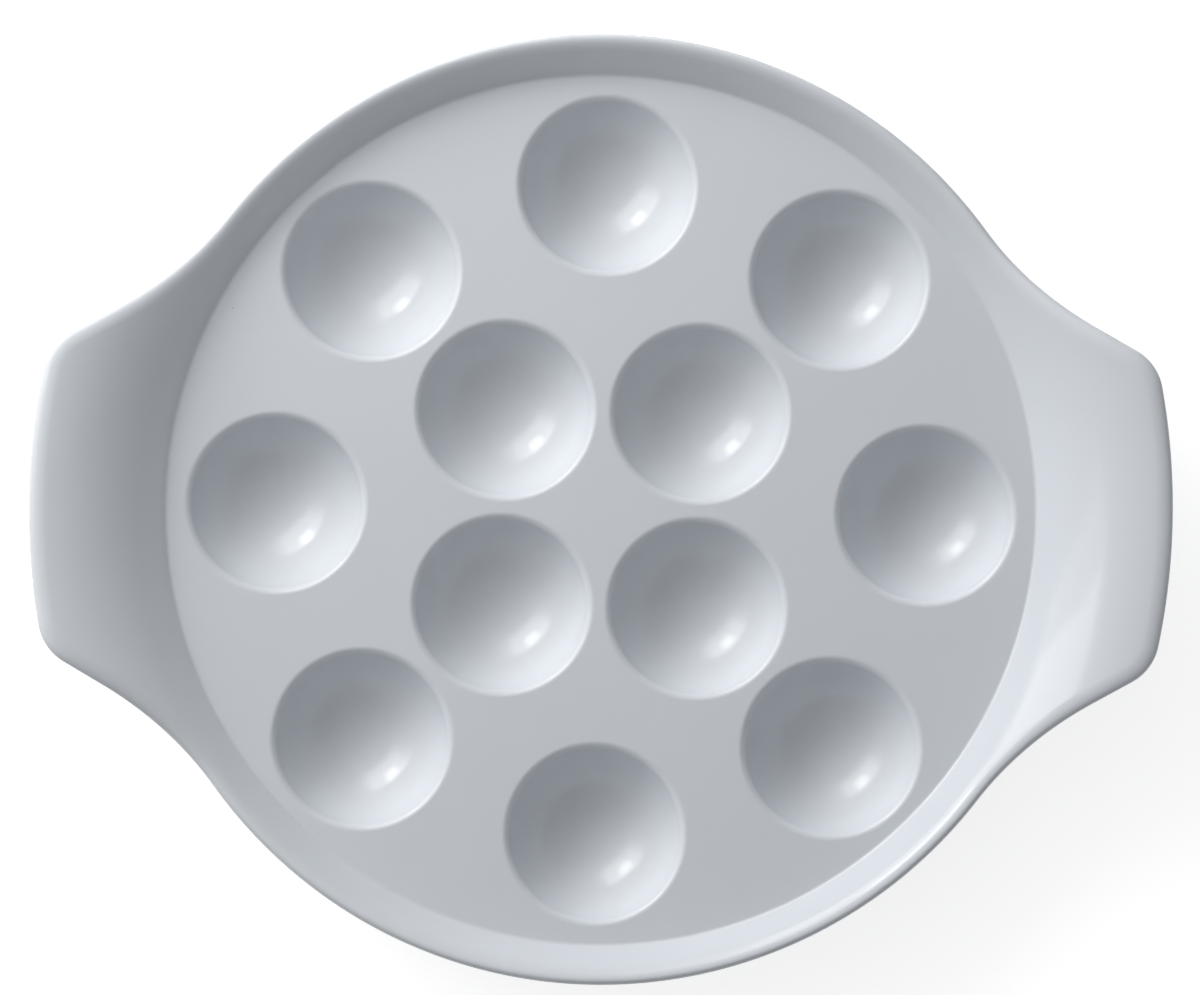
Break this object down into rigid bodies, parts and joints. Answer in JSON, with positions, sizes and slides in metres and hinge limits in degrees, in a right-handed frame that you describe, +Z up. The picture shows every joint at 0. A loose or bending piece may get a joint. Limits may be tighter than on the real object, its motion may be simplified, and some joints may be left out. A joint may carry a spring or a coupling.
{
  "type": "escargot plate",
  "caption": "Round white porcelain plate with ear handles and round snail pockets in its floor, glazed except for its foot ring.",
  "frame": {"origin": "centre of the plate on the table, at the bottom of the foot ring", "axes": "+X along the line of the two ears, +Z up out of the pockets"},
  "size_m": [0.2146, 0.1798, 0.0318],
  "materials": {
    "bare_porcelain": "fine matt fired clay",
    "upper_glaze": "smooth glossy clear glaze",
    "base_glaze": "smooth glossy clear glaze"
  },
  "bodies": {
    "root": {"porcelain_body": "bare_porcelain", "upper_glaze": "upper_glaze", "base_glaze": "base_glaze"}
  },
  "joints": []
}
